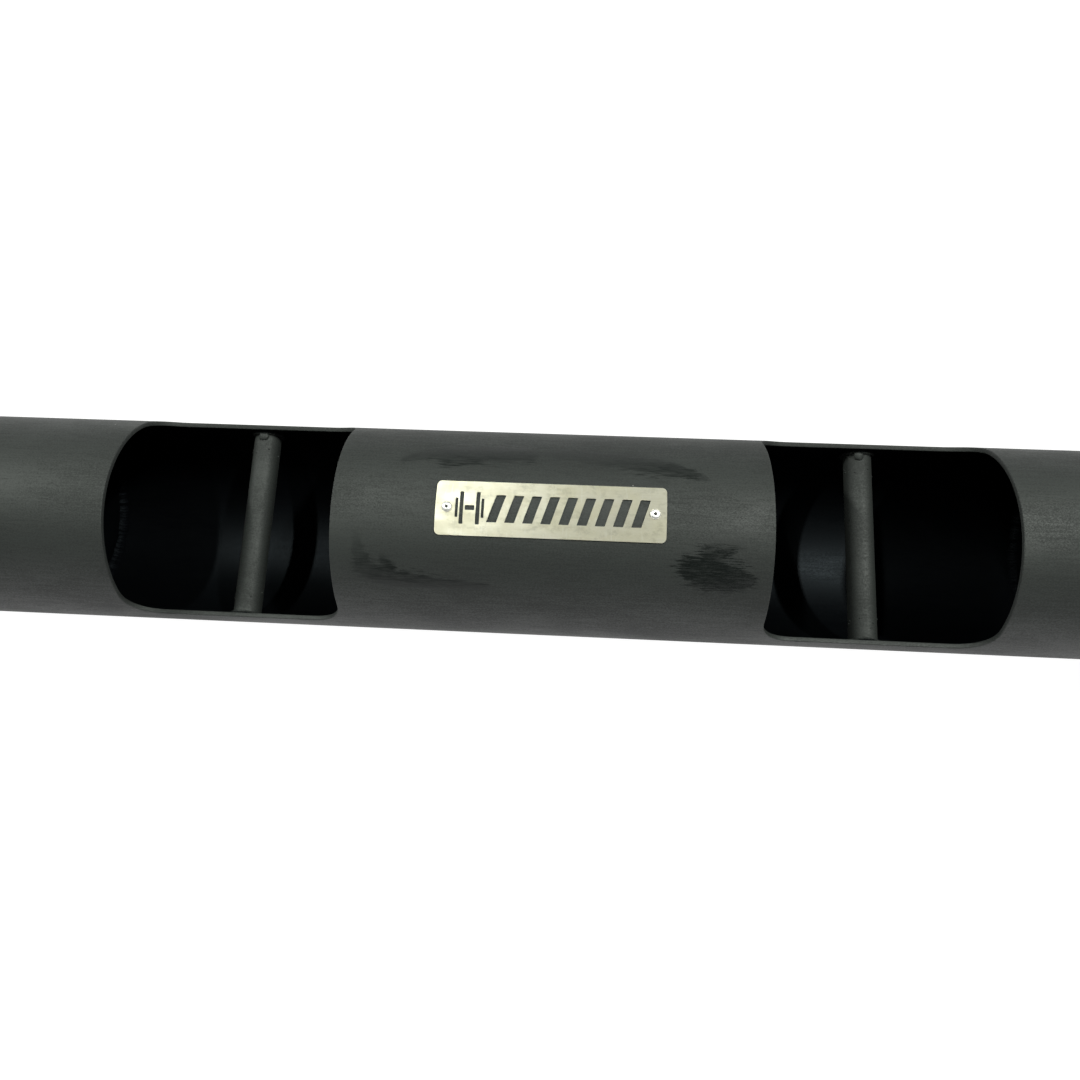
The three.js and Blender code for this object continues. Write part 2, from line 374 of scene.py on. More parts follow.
def handle(side):
    """A round bar across the bore, its ends shaped to the wall."""
    centre_x, radius = middle_and_radius(f"{side}_handle")
    skin = Skin()
    loops = []
    for i in range(HANDLE_RINGS + 1):
        share = 2 * i / HANDLE_RINGS - 1
        points = []
        for turn in full_turn(HANDLE_SEGMENTS):
            height = radius * math.sin(turn)
            x = centre_x + radius * math.cos(turn)
            points.append(Vector((x, share * wall_y(height), AXIS_Z + height)))
        loops.append(skin.loop(points))
    skin.tube(loops)
    for loop, way in ((loops[0], -1), (loops[-1], 1)):
        skin.fan(loop, Vector((centre_x, way * BORE_RADIUS, AXIS_Z)))
    return skin.piece(f"{side}_handle_looks")


# Beads of spatter on a handle: the angle round it from +X in degrees, the distance from its end
# in mm, and the bead's radius in mm.
SPATTER = [(62, 20, 0.9), (118, 24, 0.7), (74, 15, 0.6), (172, 19, 1.1), (165, 22, 0.8), (8, 25, 1.0)]

# The lump on top of a handle's rear end, where the bead starts and stops.
LUMP_RADII = (5 * MM, 5 * MM, 2.6 * MM)
LUMP_FROM_WALL = 5.5 * MM
LUMP_SUNK = 0.2 * MM
LUMP_SHIFT = {"left": 0.5 * MM, "right": -2.5 * MM}


def handle_weld(side, end, way):
    """The bead round one end of a handle, with its spatter. way is the side of the log, -1 or 1."""
    centre_x, radius = middle_and_radius(f"{side}_handle")
    roots = []
    for turn in full_turn(220):
        height = radius * math.sin(turn)
        root = Vector((centre_x + radius * math.cos(turn), way * wall_y(height), AXIS_Z + height))
        slope = -radius * math.sin(turn) ** 2 / wall_y(height)
        along_wall = Vector((math.cos(turn), way * slope, math.sin(turn))).normalized()
        along_bar = Vector((0, -way, 0))
        roots.append((root, along_wall * HANDLE_WELD_LEG, along_bar * HANDLE_WELD_LEG))
    seed = 3.1 * centre_x * 100 + way
    skin = weld_bead(roots, seed, crown=0.25, size_noise=0.22)
    if way > 0:
        y = wall_y(radius) - LUMP_FROM_WALL
        top = Vector((centre_x + LUMP_SHIFT[side], y, AXIS_Z + radius - LUMP_SUNK))
        blob(skin, top, LUMP_RADII, seed)
    for i, (degrees, distance, size) in enumerate(SPATTER):
        turn = math.radians(degrees)
        place = Vector((
            centre_x + radius * math.cos(turn),
            way * (BORE_RADIUS - distance * MM),
            AXIS_Z + radius * math.sin(turn),
        ))
        blob(skin, place, (size * MM,) * 3, seed + i, rings=6, segments=10)
    return skin.piece(f"{side}_handle_{end}_weld_looks", WELD_SMOOTHING)


# ---------------------------------------------------------------- discs, sleeves and caps


SIGN = {"left": -1, "right": 1}
DISC_SEGMENTS = 160
DISC_EDGE = 0.3 * MM


def mirrored(side, profile):
    """An (along, radius) outline on the right side, or its mirror image on the left."""
    return [(SIGN[side] * x, r) for x, r in profile]


def outward_span(node):
    """How far a node's near and far ends are from the middle of the log."""
    low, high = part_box(node)
    return tuple(sorted((abs(low.x), abs(high.x))))


sleeve_low, sleeve_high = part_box("right_sleeve")
SLEEVE_RADIUS = (sleeve_high.z - sleeve_low.z) / 2
SLEEVE_WALL = 4 * MM
SLEEVE_BORE_RADIUS = SLEEVE_RADIUS - SLEEVE_WALL


def disc(side, node, profile):
    return turned(f"{side}_{node}_looks", mirrored(side, profile), round_log, DISC_SEGMENTS, DISC_EDGE)


def bulkhead(side):
    """A flat disc inside the tube, with a hole for the sleeve."""
    near, far = outward_span(f"{side}_bulkhead")
    rim = BORE_RADIUS
    return disc(side, "bulkhead", [(near, SLEEVE_RADIUS), (near, rim), (far, rim), (far, SLEEVE_RADIUS)])


def end_plate(side):
    """A disc that closes the tube, chamfered at its rim and its hole for the welds."""
    near, far = outward_span(f"{side}_end_plate")
    groove = far - WELD_GROOVE
    profile = [
        (near, SLEEVE_RADIUS),
        (near, BORE_RADIUS),
        (groove, BORE_RADIUS),
        (far, BORE_RADIUS - WELD_GROOVE),
        (far, SLEEVE_RADIUS + WELD_GROOVE),
        (groove, SLEEVE_RADIUS),
    ]
    return disc(side, "end_plate", profile)


def ring_roots(x, radius, leg_u, leg_v, step=0.5 * MM):
    """Roots of a bead round the log's axis. Each leg is (along, outward from the axis)."""
    roots = []
    for angle in full_turn(math.ceil(2 * math.pi * radius / step)):
        away = Vector((0, math.sin(angle), math.cos(angle)))
        legs = [Vector((along, 0, 0)) + away * out for along, out in (leg_u, leg_v)]
        roots.append((on_log(x, angle, radius), *legs))
    return roots


def disc_welds(side):
    """The beads at the bulkhead's rim, the end plate's rim, and where the sleeve passes through both."""
    sign = SIGN[side]
    bulkhead_near, bulkhead_far = outward_span(f"{side}_bulkhead")
    plate_far = outward_span(f"{side}_end_plate")[1]
    groove_x = plate_far - WELD_GROOVE
    leg = BULKHEAD_WELD_LEG
    inner_leg = SLEEVE_INNER_WELD_LEG
    groove = WELD_GROOVE
    # The root's place and radius, the two legs, the crown and how much the size wanders.
    beads = {
        "bulkhead_weld": (bulkhead_near, BORE_RADIUS, (-leg, 0), (0, -leg), 0.22, 0.42),
        "sleeve_inner_weld": (bulkhead_far, SLEEVE_RADIUS, (inner_leg, 0), (0, inner_leg), 0.2, 0.25),
        "end_plate_weld": (groove_x, BORE_RADIUS, (groove, 0), (groove, -groove), 0.12, 0.14),
        "sleeve_weld": (groove_x, SLEEVE_RADIUS, (groove, 0), (groove, groove), 0.12, 0.14),
    }
    pieces = {}
    for i, (node, (x, radius, leg_u, leg_v, crown, size_noise)) in enumerate(beads.items()):
        legs = [(sign * along, out) for along, out in (leg_u, leg_v)]
        roots = ring_roots(sign * x, radius, *legs)
        name = f"{side}_{node}"
        bead = weld_bead(roots, 7.7 * i + sign, crown, size_noise)
        pieces[name] = bead.piece(f"{name}_looks", WELD_SMOOTHING)
    return pieces


def sleeve(side):
    """The pipe that carries the weight plates."""
    near, far = outward_span(f"{side}_sleeve")
    profile = [
        (near, SLEEVE_BORE_RADIUS),
        (near, SLEEVE_RADIUS),
        (far, SLEEVE_RADIUS),
        (far, SLEEVE_BORE_RADIUS),
    ]
    return turned(f"{side}_sleeve_looks", mirrored(side, profile), round_log, 128, 0.7 * MM)


def sleeve_cap(side):
    """A moulded plug: a domed flange with a shallow ring round a sunk centre, and a ribbed spigot."""
    near, far = outward_span(f"{side}_sleeve_cap")
    flange = outward_span(f"{side}_sleeve")[1] + 0.1 * MM
    spigot = SLEEVE_BORE_RADIUS - 0.2 * MM
    ribs, rib = 4, 0.6 * MM
    profile = [(near, 0), (near, spigot - 2 * rib)]
    for i in range(ribs):
        start = near + (flange - near) * (i + 0.3) / ribs
        profile += [(start, spigot - rib), (start + rib, spigot), (start + 2.4 * rib, spigot - rib)]
    profile += [
        (flange, spigot - rib),
        (flange, SLEEVE_RADIUS),
        (far - 1.6 * MM, SLEEVE_RADIUS),
        (far - 0.5 * MM, SLEEVE_RADIUS - 1.4 * MM),
    ]
    # The face from its ring to its middle: depth below the ring, and the share of the radius.
    face = [(0, 0.72), (0, 0.62), (0.5, 0.59), (0.2, 0.2), (0.9, 0.13), (0.9, 0)]
    profile += [(far - depth * MM, SLEEVE_RADIUS * share) for depth, share in face]
    return turned(f"{side}_sleeve_cap_looks", mirrored(side, profile), round_log, 96, 0.4 * MM)


# ---------------------------------------------------------------- name plate and rivets


def rounded_rectangle(x, half_x, half_y, radius, lean=0.0, steps=6):
    """Outline points of a rounded rectangle around (x, 0). lean is its shift for each unit of height."""
    points = []
    for corner, (sx, sy) in enumerate(((1, 1), (-1, 1), (-1, -1), (1, -1))):
        for step in range(steps + 1):
            turn = math.pi / 2 * (corner + step / steps)
            px = sx * (half_x - radius) + radius * math.cos(turn)
            py = sy * (half_y - radius) + radius * math.sin(turn)
            points.append((x + px + lean * py, py))
    return points


# The dumbbell sign cut in the plate: where each stroke is from the sign's middle, half its width,
# half its height and the radius of its corners, in mm. Then the row of leaning bars beside it.
DUMBBELL_X = -72.5 * MM
DUMBBELL = [
    (0, 4.4, 2.3, 0.5),
    (-7.4, 1.9, 15, 0.9),
    (-11.7, 1.4, 9, 0.8),
    (7.4, 1.9, 15, 0.9),
    (11.7, 1.4, 9, 0.8),
]
BARS = 9
FIRST_BAR_X = -48.5 * MM
LAST_BAR_X = 80.5 * MM
BAR_HALF_WIDTH = 4.6 * MM
BAR_HALF_HEIGHT = 12.6 * MM
BAR_CORNER_RADIUS = 0.6 * MM
BAR_LEAN = 0.32


def plate_cutouts():
    """Outlines of a dumbbell sign and a row of leaning bars, cut right through the plate."""
    cuts = []
    for x, half_width, half_height, radius in DUMBBELL:
        cuts.append(rounded_rectangle(
            DUMBBELL_X + x * MM,
            half_width * MM,
            half_height * MM,
            radius * MM,
        ))
    for i in range(BARS):
        x = FIRST_BAR_X + (LAST_BAR_X - FIRST_BAR_X) * i / (BARS - 1)
        cuts.append(rounded_rectangle(x, BAR_HALF_WIDTH, BAR_HALF_HEIGHT, BAR_CORNER_RADIUS, BAR_LEAN))
    return cuts


def name_plate():
    """The plate: cut out flat, divided in narrow strips, and bent round the log."""
    curve = bpy.data.curves.new("plate_outline", "CURVE")
    curve.dimensions = "2D"
    curve.fill_mode = "BOTH"
    curve.extrude = PLATE_THICKNESS / 2 - PLATE_EDGE
    curve.bevel_depth = PLATE_EDGE
    curve.bevel_resolution = 2
    outline = rounded_rectangle(0, PLATE_HALF_LENGTH, PLATE_HALF_HEIGHT, PLATE_CORNER_RADIUS, steps=12)
    inset = 1 - PLATE_EDGE / PLATE_HALF_HEIGHT
    outline = [(x - math.copysign(PLATE_EDGE, x), y * inset) for x, y in outline]
    for points in [outline] + plate_cutouts():
        spline = curve.splines.new("POLY")
        spline.points.add(len(points) - 1)
        spline.points.foreach_set("co", [v for x, y in points for v in (x, y, 0, 1)])
        spline.use_cyclic_u = True
    flat = bpy.data.objects.new("plate_outline", curve)
    bpy.context.scene.collection.objects.link(flat)
    bpy.context.view_layer.update()
    mesh = bpy.data.meshes.new_from_object(flat.evaluated_get(bpy.context.evaluated_depsgraph_get()))
    bpy.data.objects.remove(flat)
    work = bmesh.new()
    work.from_mesh(mesh)
    bmesh.ops.remove_doubles(work, verts=work.verts, dist=0.004 * MM)
    strips = 32
    for i in range(1, strips):
        y = PLATE_HALF_HEIGHT * (2 * i / strips - 1)
        bmesh.ops.bisect_plane(
            work,
            geom=work.verts[:] + work.edges[:] + work.faces[:],
            plane_co=(0, y, 0),
            plane_no=(0, 1, 0),
            dist=0.001 * MM,
        )
    middle_radius = PLATE_TOP_RADIUS - PLATE_THICKNESS / 2
    for vert in work.verts:
        x, arc, height = vert.co
        vert.co = on_log(x, arc / LOG_RADIUS, middle_radius + height)
    work.to_mesh(mesh)
    work.free()
    plate = finished("name_plate_looks", mesh, 25)
    follow_the_log(plate.data)
    return plate


def follow_the_log(mesh):
    """Rounds the shading of the plate's faces to the log's curve, and maps u across the brushing."""
    normals = []
    nearly_level = 0.9  # the least cosine between a face that lies along the log and the way out of it
    brushing = mesh.uv_layers.new(name="brushing")
    for face in mesh.polygons:
        for loop in face.loop_indices:
            x, y, z = mesh.vertices[mesh.loops[loop].vertex_index].co
            away = Vector((0, y, z - AXIS_Z)).normalized()
            lean = face.normal.dot(away)
            rounded = away * math.copysign(1, lean)
            normals.append(rounded if abs(lean) > nearly_level else face.normal.copy())
            brushing.data[loop].uv = (math.atan2(y, z - AXIS_Z) * LOG_RADIUS, x)
    mesh.normals_split_custom_set(normals)


RIVET_BORE = 1.3 * MM
RIVET_SHANK = 2.4 * MM
RIVET_BULB = 3.4 * MM
RIVET_RIM = 0.4 * MM  # height of the flange's upright edge
DOME_STEPS = 8


def rivet(side):
    """The blind rivet's domed body and, sunk in it, the broken end of its mandrel."""
    low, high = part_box(f"{side}_rivet_body")
    centre_x, flange = middle_and_radius(f"{side}_rivet_body")
    under = PLATE_TOP_RADIUS + AXIS_Z
    dome = high.z - under
    mouth = RIVET_BORE * 1.15  # the radius where the dome turns in to the bore
    inside = AXIS_Z + BORE_RADIUS

    def placed(z, radius, angle):
        return Vector((centre_x + radius * math.cos(angle), radius * math.sin(angle), z))

    crown = []
    for i in range(DOME_STEPS + 1):
        turn = math.pi / 2 * i / DOME_STEPS
        radius = mouth + (flange - mouth) * math.cos(turn)
        crown.append((under + RIVET_RIM + (dome - RIVET_RIM) * math.sin(turn), radius))
    profile = [
        (low.z, RIVET_BORE),
        (low.z, RIVET_SHANK),
        (low.z + 1.2 * MM, RIVET_BULB),
        (inside - 1.2 * MM, RIVET_BULB),
        (inside - 0.2 * MM, RIVET_SHANK),
        (under, RIVET_SHANK),
        (under, flange),
    ] + crown + [(high.z - 0.5 * MM, RIVET_BORE)]
    body = turned(f"{side}_rivet_body_looks", profile, placed, segments=48, edge=0.15 * MM)

    # Heights from the body's underside, then from its top: the mandrel's head, its stem, the break.
    below = [(-1.9, 0), (-1.9, 1.4), (-1.0, 2.2), (-0.1, 2.2), (0, 1.15)]
    above = [(-0.9, 1.15), (-0.7, 0.7), (-0.55, 0)]
    stem = [(low.z + height * MM, radius * MM) for height, radius in below]
    stem += [(high.z + height * MM, radius * MM) for height, radius in above]
    mandrel = turned(f"{side}_rivet_mandrel_looks", stem, placed, segments=32, edge=0.12 * MM)
    return {f"{side}_rivet_body": body, f"{side}_rivet_mandrel": mandrel}


# ---------------------------------------------------------------- smudges on the coating

# Each smudge is a list of (x in mm, angle in degrees, half width in mm, strength) along its stroke.
# The first four are behind the name plate, the others in front of it or beside it.
SMUDGES = [
    [(-138, 27, 4, 0.5), (-124, 30, 6, 0.6), (-114, 32, 6, 0.55)],
    [(-99, 32.5, 11, 0.8), (-62, 34, 12, 0.85), (-24, 35, 11, 0.8)],
    [(-98, 26, 5, 0.4), (-72, 27, 5, 0.4)],
    [
        (2, 35.5, 9, 0.5),
        (36, 34, 10, 0.55),
        (70, 30.5, 10, 0.7),
        (104, 27, 10, 0.8),
        (124, 24, 6, 0.8),
        (138, 21.5, 3.5, 0.65),
    ],
    [(-175, -14, 3, 0.2), (-173, -24, 6, 0.4), (-168, -32, 9, 0.6)],
    [
        (-164, -35.5, 9, 0.7),
        (-148, -38, 9, 0.9),
        (-120, -39.5, 7, 1.0),
        (-92, -40.5, 5, 1.0),
        (-56, -41, 3, 0.9),
    ],
    [(-151, -26, 3, 0.2), (-145, -33, 6, 0.35)],
    [
        (124, -26.5, 10, 1.0),
        (138, -28.5, 14, 1.15),
        (155, -30, 15, 1.2),
        (170, -31.5, 11, 1.15),
        (181, -32, 5, 1.0),
    ],
    [(144, -20, 12, 0.3), (160, -12, 11, 0.28), (178, -1, 9, 0.24), (188, 6, 7, 0.16)],
]


def from_axis(face):
    """How far the middle of a face is from the log's axis."""
    return math.hypot(face.center.y, face.center.z - AXIS_Z)


def paint_shade_on(piece, material, chosen):
    """Gives the chosen faces of a piece a second, darker material: painted shade."""
    piece.data.materials.append(material)
    for face in piece.data.polygons:
        if chosen(face):
            face.material_index = 1


def in_the_bore(face):
    return from_axis(face) < BORE_RADIUS + 0.01 * MM


def in_the_shaded_corner(face):
    """True for the part of a handle's weld that is close to the bore's wall, which gets painted shade.
    """
    return from_axis(face) > BORE_RADIUS - 2.5 * MM


def add_smudges(mesh):
    """Stores how near each point of the shell's outside is to a smudge, and how strong that one is."""
    strength_reach = 2.6  # in half widths, where the strength has faded out
    co = np.array([v.co for v in mesh.vertices])
    arc = np.arctan2(co[:, 1], co[:, 2] - AXIS_Z) * LOG_RADIUS
    outside = np.hypot(co[:, 1], co[:, 2] - AXIS_Z) > LOG_RADIUS - WALL / 2
    smudge = np.zeros(len(co))
    strength = np.zeros(len(co))
    for stroke in SMUDGES:
        spots = [(x * MM, math.radians(a) * LOG_RADIUS, w * MM, s) for x, a, w, s in stroke]
        for (x0, a0, w0, s0), (x1, a1, w1, s1) in zip(spots, spots[1:]):
            span = (x1 - x0) ** 2 + (a1 - a0) ** 2
            t = np.clip(((co[:, 0] - x0) * (x1 - x0) + (arc - a0) * (a1 - a0)) / span, 0, 1)
            far = np.hypot(co[:, 0] - x0 - t * (x1 - x0), arc - a0 - t * (a1 - a0))
            width = w0 + (w1 - w0) * t
            smudge = np.maximum(smudge, np.clip(2 - far / width, 0, 2) / 2)
            near = np.clip(strength_reach - far / width, 0, 1)
            strength = np.maximum(strength, near * (s0 + (s1 - s0) * t))
    for name, values in (("smudge", smudge), ("smudge_strength", strength)):
        layer = mesh.attributes.new(name, "FLOAT", "POINT")
        layer.data.foreach_set("value", (values * outside).astype(np.float32))


# ---------------------------------------------------------------- materials


class Nodes:
    """Short ways to add shader nodes to one material."""

    def __init__(self, name):
        self.material = bpy.data.materials.new(name)
        self.material.use_nodes = True
        self.tree = self.material.node_tree
        self.shader = self.tree.nodes["Principled BSDF"]
        self.place = self.add("ShaderNodeTexCoord").outputs["Object"]

    def add(self, kind, **settings):
        node = self.tree.nodes.new(kind)
        for key, value in settings.items():
            setattr(node, key, value)
        return node

    def feed(self, socket, value):
        if isinstance(value, bpy.types.NodeSocket):
            self.tree.links.new(value, socket)
        else:
            socket.default_value = value

    def math(self, operation, first, second, clamp=False):
        node = self.add("ShaderNodeMath", operation=operation, use_clamp=clamp)
        self.feed(node.inputs[0], first)
        self.feed(node.inputs[1], second)
        return node.outputs[0]

    def times(self, first, second, clamp=False):
        return self.math("MULTIPLY", first, second, clamp)

    def stretched(self, scale):
        """Object coordinates times a scale for each axis."""
        node = self.add("ShaderNodeVectorMath", operation="MULTIPLY")
        self.feed(node.inputs[0], self.place)
        node.inputs[1].default_value = scale
        return node.outputs[0]

    def noise(self, scale, detail=3.0, roughness=0.5):
        """Fine or broad noise, 0 to 1. scale is in features for each metre, for each axis or for all."""
        node = self.add("ShaderNodeTexNoise")
        scales = scale if isinstance(scale, tuple) else (scale,) * 3
        self.feed(node.inputs["Vector"], self.stretched(scales))
        node.inputs["Scale"].default_value = 1.0
        node.inputs["Detail"].default_value = detail
        node.inputs["Roughness"].default_value = roughness
        return node.outputs["Fac"]

    def between(self, value, low, high, to_low=0.0, to_high=1.0, smooth=False):
        """A value from low to high, brought to the range from to_low to to_high and kept in it."""
        node = self.add("ShaderNodeMapRange")
        node.interpolation_type = "SMOOTHSTEP" if smooth else "LINEAR"
        self.feed(node.inputs["Value"], value)
        limits = {"From Min": low, "From Max": high, "To Min": to_low, "To Max": to_high}
        for name, number in limits.items():
            node.inputs[name].default_value = number
        return node.outputs[0]

    def mix(self, share, first, second):
        node = self.add("ShaderNodeMix", data_type="RGBA")
        self.feed(node.inputs["Factor"], share)
        for socket, value in ((node.inputs[6], first), (node.inputs[7], second)):
            self.feed(socket, (*value, 1) if isinstance(value, tuple) else value)
        return node.outputs[2]

    def bump(self, height, distance, strength=1.0, before=None):
        node = self.add("ShaderNodeBump")
        node.inputs["Strength"].default_value = strength
        node.inputs["Distance"].default_value = distance
        self.feed(node.inputs["Height"], height)
        if before:
            self.feed(node.inputs["Normal"], before)
        return node.outputs[0]

    def set(self, **values):
        for name, value in values.items():
            self.feed(self.shader.inputs[name.replace("_", " ")], value)
        return self.material


def specks(nodes, cells, share, size):
    """Sparse round dots, 1 inside the dot. cells is for each metre, and share how many have a dot."""
    node = nodes.add("ShaderNodeTexVoronoi", feature="F1")
    nodes.feed(node.inputs["Vector"], nodes.place)
    node.inputs["Scale"].default_value = cells
    near = nodes.between(node.outputs["Distance"], size * 0.6, size, 1.0, 0.0)
    parts = nodes.add("ShaderNodeSeparateColor")
    nodes.feed(parts.inputs[0], node.outputs["Color"])
    chosen = nodes.math("LESS_THAN", parts.outputs[0], share)
    return nodes.times(near, chosen)


# The powder coat's colour in its dark and its light spots: on the outside, then darkened as
# painted shade inside the bore, and on the beads round the bulkheads.
COAT_COLOURS = ((0.008, 0.0096, 0.0088), (0.018, 0.021, 0.0194))
BORE_SHADE_COLOURS = ((0.0002, 0.00025, 0.0004), (0.0004, 0.0005, 0.0008))
BEAD_SHADE_COLOURS = ((0.0006, 0.0007, 0.0011), (0.0012, 0.0014, 0.002))
WHITE = (1, 1, 1)
# A bluish tint of the reflections on the darker coats inside the bore: part of the painted shade.
SHADE_TINT_BLUE = (0.76, 0.88, 1.0)
GREASE_COLOUR = (0.003, 0.0045, 0.004)
DUST_COLOUR = (0.42, 0.42, 0.40)

# The name plate's colour: in its brushed lines, in clouds, where stained and where rubbed.
BRUSHED_COLOURS = ((0.84, 0.80, 0.66), (0.92, 0.88, 0.75))
CLOUD_COLOUR = (0.70, 0.66, 0.50)
STAIN_COLOUR = (0.50, 0.47, 0.36)
RUBBED_COLOUR = (0.95, 0.93, 0.86)

RIVET_COLOURS = ((0.80, 0.79, 0.77), (0.90, 0.89, 0.87))
MANDREL_COLOURS = ((0.04, 0.04, 0.038), (0.09, 0.085, 0.08))
PLASTIC_COLOURS = ((0.014, 0.014, 0.015), (0.026, 0.026, 0.027))
FLOOR_COLOURS = ((0.10, 0.10, 0.10), (0.12, 0.12, 0.12))


def smudge_cover(nodes):
    """How much the smudges cover, 0 to 1: streaks along the tube, with ragged ends."""
    mark = nodes.add("ShaderNodeAttribute", attribute_name="smudge").outputs["Fac"]
    strength = nodes.add("ShaderNodeAttribute", attribute_name="smudge_strength").outputs["Fac"]
    streaks = nodes.noise((75, 800, 800), 3, 0.75)
    ragged = nodes.between(streaks, 0.36, 0.64, -0.45, 0.45)
    ragged = nodes.times(ragged, nodes.math("SUBTRACT", 1.0, mark))
    cover = nodes.between(nodes.math("ADD", mark, ragged), 0.36, 0.64, smooth=True)
    cover = nodes.times(cover, nodes.between(streaks, 0.4, 0.6, 0.5, 1.05))
    return nodes.times(cover, strength, clamp=True)


def powder_coat(name, colours, gloss, roughness, tint=WHITE, smudged=False):
    """Satin black powder coat: a fine orange peel, faint drawn lines along the tube, and dust."""
    nodes = Nodes(name)
    broad = nodes.noise((7, 16, 16), 4, 0.55)
    drawn = nodes.noise((34, 460, 460), 3, 0.6)
    grain = nodes.noise((620, 900, 900), 2, 0.7)
    tone = nodes.times(broad, 0.34)
    for pattern, share in ((drawn, 0.2), (grain, 0.46)):
        tone = nodes.math("ADD", tone, nodes.times(pattern, share))
    tone = nodes.between(tone, 0.42, 0.58)
    colour = nodes.mix(tone, *colours)
    rough = nodes.between(tone, 0.0, 1.0, roughness + 0.09, roughness - 0.08)
    if smudged:
        mark = smudge_cover(nodes)
        colour = nodes.mix(nodes.times(mark, 0.9), colour, GREASE_COLOUR)
        rough = nodes.math("SUBTRACT", rough, nodes.times(mark, 0.3))
    dust = specks(nodes, cells=55, share=0.03, size=0.035)
    colour = nodes.mix(nodes.times(dust, 0.7), colour, DUST_COLOUR)
    peel = nodes.bump(nodes.noise(520, 2, 0.5), 0.05 * MM, 0.55)
    fine = nodes.bump(grain, 0.06 * MM, 0.7, peel)
    return nodes.set(
        Base_Color=colour,
        Roughness=rough,
        Normal=fine,
        Specular_IOR_Level=gloss,
        Specular_Tint=(*tint, 1),
    )


def brushed_stainless(name):
    """Stainless sheet brushed along its length, with faint stains and rubbed scratches."""
    nodes = Nodes(name)
    lines = nodes.noise((25, 2400, 2400), 4, 0.7)
    cloud = nodes.noise((38, 60, 60), 4, 0.6)
    stain = nodes.between(nodes.noise((90, 120, 120), 5, 0.65), 0.48, 0.7, smooth=True)
    rubbed = nodes.between(nodes.noise((420, 70, 70), 4, 0.7), 0.56, 0.72, smooth=True)
    colour = nodes.mix(nodes.between(lines, 0.3, 0.7), *BRUSHED_COLOURS)
    colour = nodes.mix(nodes.between(cloud, 0.38, 0.62, 0.0, 0.6), colour, CLOUD_COLOUR)
    colour = nodes.mix(nodes.times(stain, 0.45), colour, STAIN_COLOUR)
    colour = nodes.mix(nodes.times(rubbed, 0.45), colour, RUBBED_COLOUR)
    cloudy = nodes.between(cloud, 0.3, 0.7, 0.48, 0.58)
    rough = nodes.math("ADD", cloudy, nodes.between(lines, 0.3, 0.7, 0.0, 0.06))
    tangent = nodes.add("ShaderNodeTangent", direction_type="UV_MAP", uv_map="brushing")
    nodes.feed(nodes.shader.inputs["Tangent"], tangent.outputs[0])
    return nodes.set(
        Base_Color=colour,
        Metallic=1.0,
        Roughness=rough,
        Normal=nodes.bump(lines, 0.012 * MM, 0.5),
        Anisotropic=0.8,
    )


def bare_metal(name, colours):
    """Plain fastener metal with faint marks from setting."""
    nodes = Nodes(name)
    cloud = nodes.noise(700, 3, 0.6)
    scratch = nodes.noise((5200, 900, 900), 3, 0.6)
    return nodes.set(
        Base_Color=nodes.mix(nodes.between(cloud, 0.3, 0.7), *colours),
        Metallic=1.0,
        Roughness=nodes.between(scratch, 0.3, 0.7, 0.45, 0.58),
        Normal=nodes.bump(scratch, 0.01 * MM, 0.4),
    )


def moulded_plastic(name):
    """Black moulded plastic with a spark-eroded grain and rubbed patches."""
    nodes = Nodes(name)
    grain = nodes.noise(1900, 2, 0.55)
    rubbed = nodes.noise(60, 4, 0.6)
    return nodes.set(
        Base_Color=nodes.mix(nodes.between(rubbed, 0.35, 0.7), *PLASTIC_COLOURS),
        Roughness=nodes.between(rubbed, 0.3, 0.7, 0.62, 0.48),
        Normal=nodes.bump(grain, 0.05 * MM, 0.5),
    )


def pale_floor(name):
    """A white floor that glows, so that it stays white in the log's shadow.

    The glow is strongest in front of the log, and fades with the distance from it.
    """
    nodes = Nodes(name)
    distance = nodes.add("ShaderNodeVectorMath", operation="DISTANCE")
    nodes.feed(distance.inputs[0], nodes.place)
    distance.inputs[1].default_value = (0, -0.17, 0)
    glow = nodes.between(distance.outputs["Value"], 0.9, 6.0, 1.0, 0.6, smooth=True)
    parts = nodes.add("ShaderNodeSeparateXYZ")
    nodes.feed(parts.inputs[0], nodes.place)
    front = nodes.between(parts.outputs["Y"], -0.7, -0.1, 1.7, 1.0, smooth=True)
    return nodes.set(
        Base_Color=nodes.mix(nodes.noise(3, 2), *FLOOR_COLOURS),
        Roughness=0.9,
        Specular_IOR_Level=0.0,
        Emission_Color=(1, 1, 1, 1),
        Emission_Strength=nodes.times(glow, front),
    )


# ---------------------------------------------------------------- putting it together


def show(piece, material, slot, *nodes):
    """Gives a piece its finish, and lets it stand for CAD nodes."""
    piece.data.materials.clear()
    piece.data.materials.append(material)
    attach(piece, "root")
    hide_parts(*nodes)


